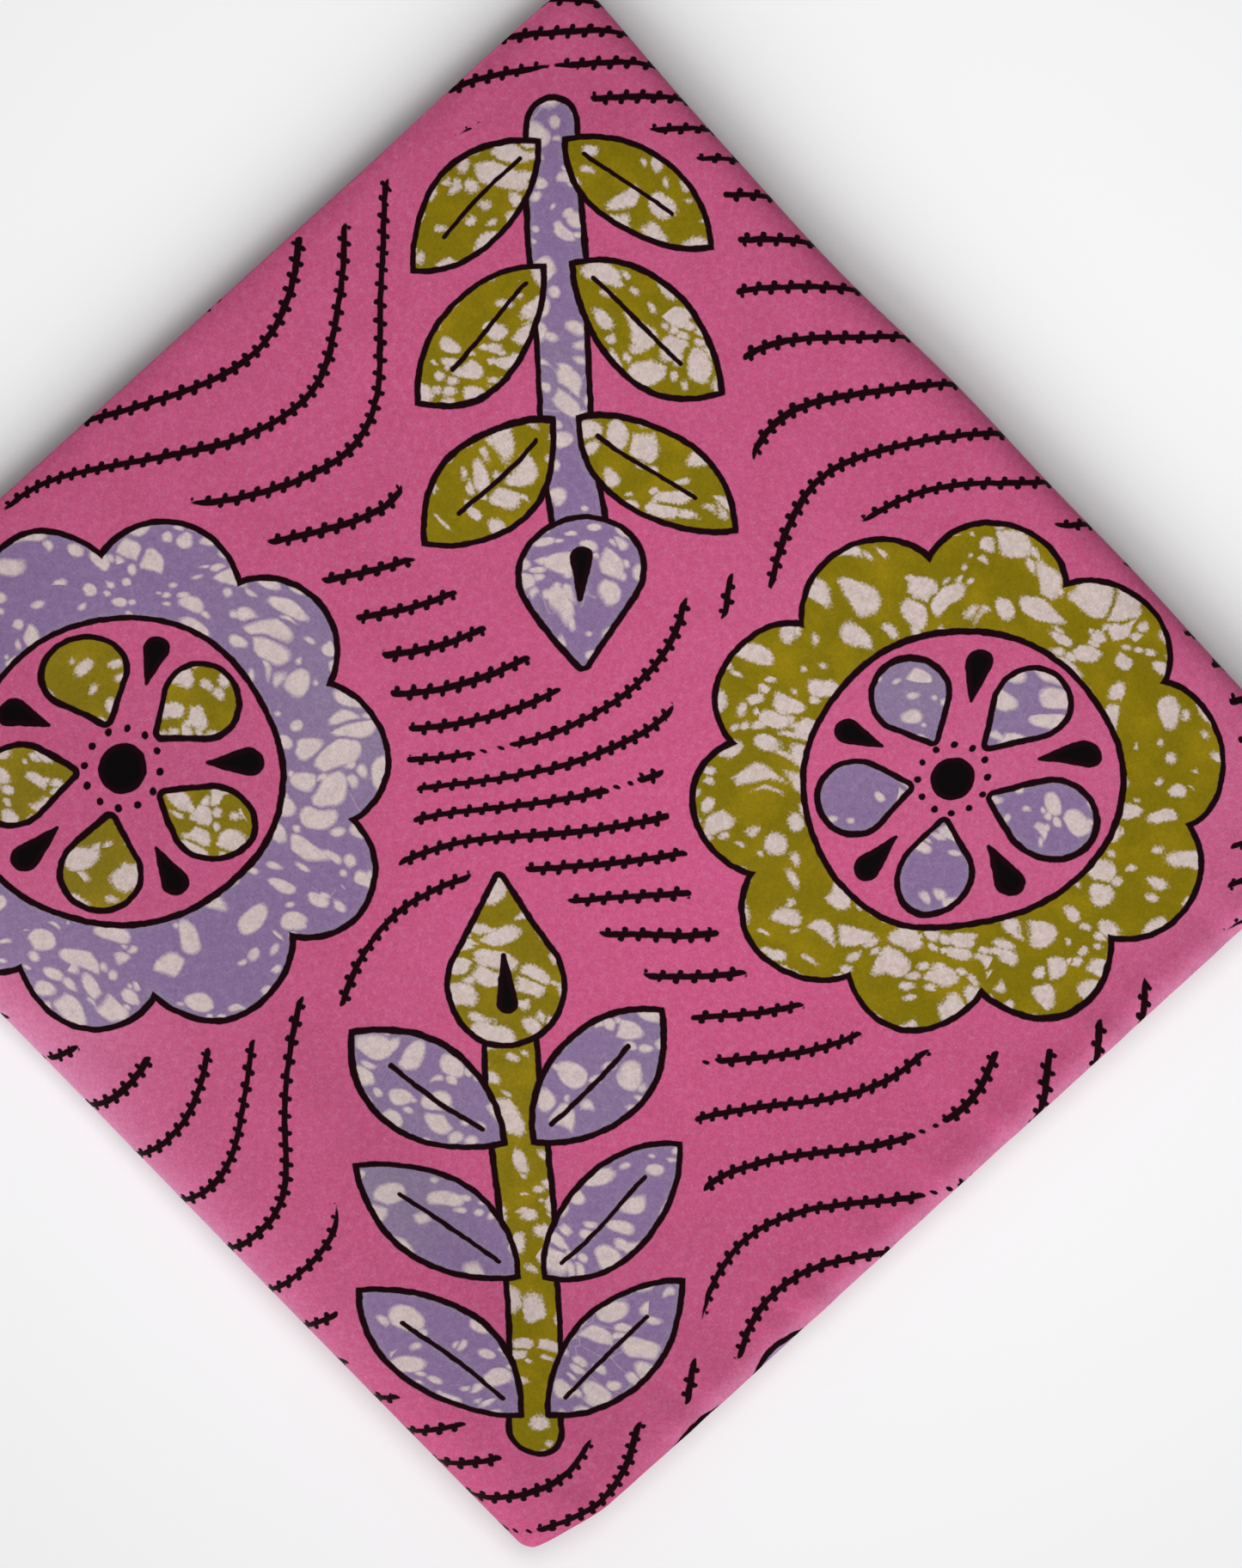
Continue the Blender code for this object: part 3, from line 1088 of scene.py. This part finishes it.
@dataclass(frozen=True)
class WaxPrintFinish:
    """Matt cotton with a wax-resist print: flat inks, crackled white where the wax held, and a fine weave."""

    name: str = "wax_print_cotton"
    design: PrintDesign = PrintDesign()
    ground: Triple = (0.4370, 0.0728, 0.1730)
    ground_deep: Triple = (0.4100, 0.0645, 0.1545)
    lavender: Triple = (0.1860, 0.1170, 0.2380)
    lavender_grey: Triple = (0.2020, 0.1570, 0.2340)
    olive: Triple = (0.1680, 0.1240, 0.0020)
    olive_light: Triple = (0.2250, 0.1580, 0.0030)
    resist: Triple = (0.5050, 0.4150, 0.3960)
    ink: Triple = (0.0068, 0.0003, 0.0016)
    ink_deep: Triple = (0.0012, 0.0004, 0.0008)
    # Pale tone for painted sheen and painted highlights, laid over the ground.
    pale: Triple = (0.6600, 0.4300, 0.6500)
    lint: Triple = (0.6100, 0.4700, 0.6000)
    # Painted sheen: where the pale tone is laid along the spine fold and the near edge, how far it reaches
    # and how strong it is.
    spine_sheen: Triple = (-0.1846, 0.0068, 0.40)
    spine_tail: Pair = (0.0750, 0.020)
    spine_taper: Pair = (12.0, 1.5)
    near_sheen: Triple = (-0.1862, 0.0042, 0.18)
    near_taper: Pair = (20.0, 2.9)
    near_stop: float = 0.200
    # Painted highlights: soft round patches of the pale tone on the top, given by middle along, middle
    # across, reach and share.
    painted_highlights: Tuple[Four, ...] = (
        (0.094, -0.025, 0.030, 0.022),
        (0.094, -0.100, 0.035, 0.027),
        (0.170, -0.150, 0.045, 0.048),
        (0.115, -0.172, 0.035, 0.028),
        (-0.168, 0.048, 0.036, 0.080),
    )
    # Painted light: a brighter ground in a soft round patch on the middle of the top.
    ground_painted_light: Triple = (0.4820, 0.0755, 0.1835)
    painted_light_patches: Tuple[Four, ...] = ((0.010, -0.052, 0.088, 0.72),)
    # Painted shade: a darker ground in soft round patches on the top, where soft folds lie in shade.
    ground_painted_shade: Triple = (0.3980, 0.0715, 0.1640)
    painted_shade_patches: Tuple[Four, ...] = (
        (-0.165, -0.108, 0.025, 0.60),
        (-0.118, -0.150, 0.048, 0.70),
        (-0.068, 0.085, 0.035, 0.60),
    )
    print_bends: Tuple[Triple, ...] = ((11.0, 1.0, 0.013), (240.0, 2.0, 0.0008))
    resist_bends: Tuple[Triple, ...] = ((26.0, 1.0, 0.018), (75.0, 1.0, 0.0040))
    blob_turn: float = 25.0
    blob_squeeze: float = 0.78
    crowding: Triple = (19.0, 1.0, 0.6)
    fray: Pair = (1100.0, 3.0)
    fray_by: Pair = (0.0005, 0.0019)
    blobs: Tuple[Blobs, ...] = (Blobs(98.0, 0.74, 0.20, 0.26), Blobs(230.0, 0.30, 0.18, 0.24))
    hair_skew: Triple = (1.3, 0.4, 0.5)
    hair: Four = (62.0, 0.014, 0.03, 0.35)
    hair_from: float = 0.07
    ground_mottle: Four = (70.0, 3.0, 2.4, -0.7)
    olive_mottle: Four = (70.0, 3.0, 3.0, -1.3)
    haze: Four = (9.0, 1.0, 3.0, -1.5)
    stain: Four = (330.0, 3.0, -0.5, 1.18)
    grey_edge: Triple = (0.0012, 0.0022, 0.6)
    lint_grains: Tuple[Pair, ...] = ((1500.0, 2.0), (420.0, 2.0))
    lint_ramp: Pair = (0.18, -0.168)
    deep: Pair = (0.0017, 0.0010)
    edge_soft: Triple = (0.0010, 0.0004, 0.0003)
    thread: Triple = (2300.0, 2.0, 0.3)
    worn: Pair = (0.40, 0.60)
    fleck: Triple = (380.0, 3.0, 0.20)
    roughness: float = 0.82
    specular: float = 0.05
    sheen: float = 0.12
    sheen_roughness: float = 0.35
    weave_pitch: float = 0.00042
    weave_rise_mm: float = 0.006
    hand_mm: Tuple[Triple, ...] = ((24.0, 1.0, 0.28), (66.0, 1.0, 0.15), (170.0, 2.0, 0.026))

    def inside(self) -> "WaxPrintFinish":
        """The same finish for the layers inside, under its own name."""
        return WaxPrintFinish(name="wax_print_cotton_inside", roughness=0.86)

    def resist_share(self, g: Graph, place: Field, tint: Field) -> Field:
        """Where the wax kept the cloth white: large and small rounded blobs, and hairlines on lavender.

        The place is stretched and bent by slow noise first, and the blobs' edges are more ragged on olive.

        Args:
            g: the graph.
            place: place on the cloth.
            tint: 0 on lavender and 1 on olive.

        Returns:
            The share of white.
        """
        x, y = g.bent(place, self.resist_bends)
        along, across = g.turned(x, y, self.blob_turn)
        stretched = g.point(along, across * self.blob_squeeze)
        crowd = g.stray(place, *self.crowding)
        frayed = g.stray(place, *self.fray, g.blend(*self.fray_by, tint))
        large, small = (self.blobs_of(g, stretched, kind, crowd) for kind in self.blobs)
        whites = g.inside(g.least(large, small) + frayed, self.edge_soft[0])
        own, other, skew = self.hair_skew
        scale, thin, soft, share = self.hair
        hair = g.cells(g.point(x * own + y * other, y - x * skew), scale, "DISTANCE_TO_EDGE")[0]
        some = g.math("GREATER_THAN", crowd, self.hair_from) * (tint * -share + share)
        return g.most(whites, g.inside(hair - thin, soft) * some)

    def blobs_of(self, g: Graph, place: Field, kind: Blobs, crowd: Field) -> Field:
        """Signed distance to rounded blobs, one in some of the cells, with veins between those that meet.

        Args:
            g: the graph.
            place: where the cells lie.
            kind: their scale, share and sizes.
            crowd: how crowded the place is, from about -0.3 to 0.3. Crowded blobs are larger.

        Returns:
            The distance in metres.
        """
        edge = g.cells(place, kind.scale, "DISTANCE_TO_EDGE")[0]
        near, random = g.cells(place, kind.scale, "F1")
        first, second, third = g.split(random)
        radius = second * kind.more + kind.least + crowd * 0.5
        outside = g.most(near - radius, third * kind.vein + kind.vein - edge)
        return (outside + g.math("GREATER_THAN", first - crowd, kind.kept)) * (1 / kind.scale)

    def material(self) -> bpy.types.Material:
        """Builds the material: print, threads, mottling, painted light and shade and painted sheen in the
        colour, weave and soft puckers in the bump.

        Returns:
            The material.
        """
        g = Graph(self.name)
        cloth = Field(g, g.node("ShaderNodeAttribute", attribute_name="cloth").outputs["Vector"])
        s, t = g.bent(cloth, self.print_bends)
        design = self.design
        ring_black, ring, petal, tint, round_far = design.medallions(g, s, t)
        sprig_black, leaf, stem, leaf_tint, sprig_far = design.sprigs(g, s, t)
        waves = design.waves(g, s, t, g.least(round_far, sprig_far))
        black = g.least(ring_black, sprig_black, waves)
        fill = g.least(ring, petal, leaf, stem)
        on_ring = g.below(g.least(ring, petal), g.least(leaf, stem))
        swapped = g.blend(g.below(stem, leaf), g.below(petal, ring), on_ring)
        olive_share = abs(g.blend(leaf_tint, tint, on_ring) - swapped)
        surface = {
            "Base Color": self.colours(g, cloth, fill, black, olive_share),
            "Roughness": self.roughness,
            "Specular IOR Level": self.specular,
            "Sheen Weight": self.sheen,
            "Sheen Roughness": self.sheen_roughness,
            "Normal": self.relief(g, cloth),
        }
        for name, value in surface.items():
            g.feed(g.surface.inputs[name], value)
        return g.material

    def colours(self, g: Graph, cloth: Field, fill: Field, black: Field, olive_share: Field) -> Field:
        """Lays the inks over each other, with painted light, painted shade and painted highlights on the
        ground and painted sheen along the edges.

        Args:
            g: the graph.
            cloth: place on the cloth.
            fill: signed distance to the filled motifs.
            black: signed distance to the black.
            olive_share: 1 where the fill is olive.

        Returns:
            The colour.
        """
        s, t, _ = g.split(cloth)
        ground = g.tone(self.ground, self.ground_deep, g.grain(cloth, self.ground_mottle))
        spread = ((self.ground_painted_light, self.painted_light_patches), (self.ground_painted_shade, self.painted_shade_patches), (self.pale, self.painted_highlights))
        # These tones are painted light, painted shade and painted highlights, not inks: each is laid over the
        # ground in soft round patches.
        for ink, patches in spread:
            for at_s, at_t, reach, share in patches:
                away = g.length(s - at_s, t - at_t) * (1 / reach)
                ground = g.tone(ground, ink, g.bell(away) * share)
        reach, soft, share = self.grey_edge
        greyed = g.most(g.inside(black - reach, soft) * share, g.grain(cloth, self.haze))
        lavender = g.tone(self.lavender, self.lavender_grey, greyed)
        olive = g.tone(self.olive, self.olive_light, g.grain(cloth, self.olive_mottle))
        fine, coarse = (g.noise(cloth, *grain)[0] for grain in self.lint_grains)
        linty = g.ramp(fine + coarse, *self.lint_ramp)
        ground, lavender = (g.tone(ink, self.lint, linty) for ink in (ground, lavender))
        white = self.resist_share(g, cloth, olive_share) * g.grain(cloth, self.stain)
        filled = g.tone(g.tone(lavender, olive, olive_share), self.resist, white)
        colour = g.tone(ground, filled, g.inside(fill, self.edge_soft[1]))
        # Painted sheen: the pale tone laid along the spine fold and the near edge.
        colour = g.tone(colour, self.pale, self.painted_sheen(g, cloth))
        within, soft = self.deep
        ink = g.tone(self.ink, self.ink_deep, g.inside(black + within, soft))
        colour = g.tone(colour, ink, g.inside(black, self.edge_soft[2]))
        scale, detail, long = self.thread
        warp = g.noise(g.point(s * long, t), scale, detail)[0]
        weft = g.noise(g.point(s, t * long), scale, detail)[0]
        worn = g.math("MULTIPLY_ADD", warp + weft, *self.worn) + g.stray(cloth, *self.fleck)
        return g.tone(colour, g.point(worn, worn, worn), 1.0, "MULTIPLY")

    def painted_sheen(self, g: Graph, cloth: Field) -> Field:
        """Share of the painted sheen: the pale tone painted along the top strip's spine fold and near edge,
        standing in for the sheen their rounded sides catch.

        Args:
            g: the graph.
            cloth: place on the cloth.

        Returns:
            The share of the pale tone.
        """
        s, t, _ = g.split(cloth)
        at, reach, share = self.spine_sheen
        long_reach, long_share = self.spine_tail
        way = abs(s - at) * -1.0
        tail = g.math("EXPONENT", way * (1 / long_reach)) * long_share
        spine = (g.math("EXPONENT", way * (1 / reach)) * share + tail) * g.ramp(t, *self.spine_taper)
        at, reach, share = self.near_sheen
        taper = g.ramp(s, *self.near_taper) * g.below(s, self.near_stop)
        near = g.bell((t - at) * (1 / reach)) * taper * share
        return g.most(spine, near)

    def relief(self, g: Graph, cloth: Field) -> Field:
        """Bump in millimetres: threads that cross over and under, small puckers and the cloth's soft hand.

        Args:
            g: the graph.
            cloth: place on the cloth.

        Returns:
            The normal.
        """
        s, t, _ = g.split(cloth)
        turn = TURN / self.weave_pitch
        height = g.math("SINE", s * turn) * g.math("SINE", t * turn) * self.weave_rise_mm
        for scale, detail, rise in self.hand_mm:
            height = height + g.noise(cloth, scale, detail)[0] * rise
        made = g.node("ShaderNodeBump", {"Height": height, "Distance": 0.001, "Strength": 1.0})
        return Field(g, made.outputs[0])


@dataclass(frozen=True)
class Studio:
    """A pale floor, soft light from the picture's lower edge, and a camera straight above."""

    frame_height: float = 0.5074
    level: float = 0.0150
    aim: Pair = (0.01656, -0.01660)
    turn: float = -42.0
    lens: float = 85.0
    sensor: float = 36.0
    floor_half: float = 30.0
    floor_level: float = -0.0002
    floor_colour: Triple = (0.82, 0.82, 0.83)
    floor_shade: float = 0.98
    floor_cloud: Pair = (3.0, 2.0)
    floor_roughness: float = 0.9
    fill: float = 0.29
    fill_colour: Triple = (1.0, 0.995, 0.99)
    key: float = 3.15
    key_spread: float = 46.0
    key_from: Triple = (-0.95, -0.80, 0.78)
    top: float = 1.50
    top_size: float = 0.35
    top_at: Triple = (0.07, -0.04, 0.60)

    def build(self) -> None:
        """Makes the floor, the lights and the camera."""
        bpy.context.scene.view_settings.view_transform = "Standard"
        self.floor()
        self.lights()
        self.camera()

    def floor(self) -> None:
        """A flat sheet just under the cloth, with a faint cloudiness."""
        side, level = self.floor_half, self.floor_level
        corners = [(x * side, y * side, level) for x, y in ((-1, -1), (1, -1), (1, 1), (-1, 1))]
        mesh = bpy.data.meshes.new("studio_floor")
        mesh.from_pydata(corners, [], [(0, 1, 2, 3)])
        obj = add_object("studio_floor", mesh, Matrix())
        g = Graph("pale_floor")
        cloud = g.noise(Field(g, g.node("ShaderNodeTexCoord").outputs["Object"]), *self.floor_cloud)[0]
        darker = tuple(self.floor_shade * value for value in self.floor_colour)
        g.feed(g.surface.inputs["Base Color"], g.tone(self.floor_colour, darker, cloud))
        g.feed(g.surface.inputs["Roughness"], self.floor_roughness)
        mesh.materials.append(g.material)

    def lamp(self, name: str, kind: str, place: Triple, **settings: object) -> None:
        """Adds a light that is aimed at the middle of the floor.

        Args:
            name: its name.
            kind: its type.
            place: where it stands.
            settings: its other settings.
        """
        light = bpy.data.lights.new(name, kind)
        for key, value in settings.items():
            setattr(light, key, value)
        turn = Vector(place).to_track_quat("Z", "Y").to_matrix().to_4x4()
        add_object(name, light, Matrix.Translation(place) @ turn)

    def lights(self) -> None:
        """A wide key light from the picture's lower edge, a faint one above and an even fill all round."""
        world = bpy.data.worlds.new("studio")
        world.use_nodes = True
        background = world.node_tree.nodes["Background"]
        background.inputs["Color"].default_value = (*self.fill_colour, 1)
        background.inputs["Strength"].default_value = self.fill
        bpy.context.scene.world = world
        self.lamp("key", "SUN", self.key_from, energy=self.key, angle=math.radians(self.key_spread))
        self.lamp("top", "AREA", self.top_at, energy=self.top, shape="DISK", size=self.top_size)

    def camera(self) -> None:
        """A camera looking straight down, turned so that the stack lies on its corner as in the photo."""
        lens = bpy.data.cameras.new("camera")
        lens.lens = self.lens
        lens.sensor_width = self.sensor
        far = self.frame_height * self.lens / self.sensor
        place = Matrix.Translation((*self.aim, self.level + far))
        obj = add_object("camera", lens, place @ Matrix.Rotation(math.radians(self.turn), 4, "Z"))
        bpy.context.scene.camera = obj


def main() -> None:
    """Builds the cloth and the studio round it."""
    logging.basicConfig(level=logging.INFO, format="%(name)s: %(message)s")
    form = StackForm()
    cloth = FoldedCloth(form, FoldPath(form), WaxPrintFinish())
    cloth.build()
    Studio().build()
    LOG.info("boxes written")


if __name__ == "__main__":
    main()
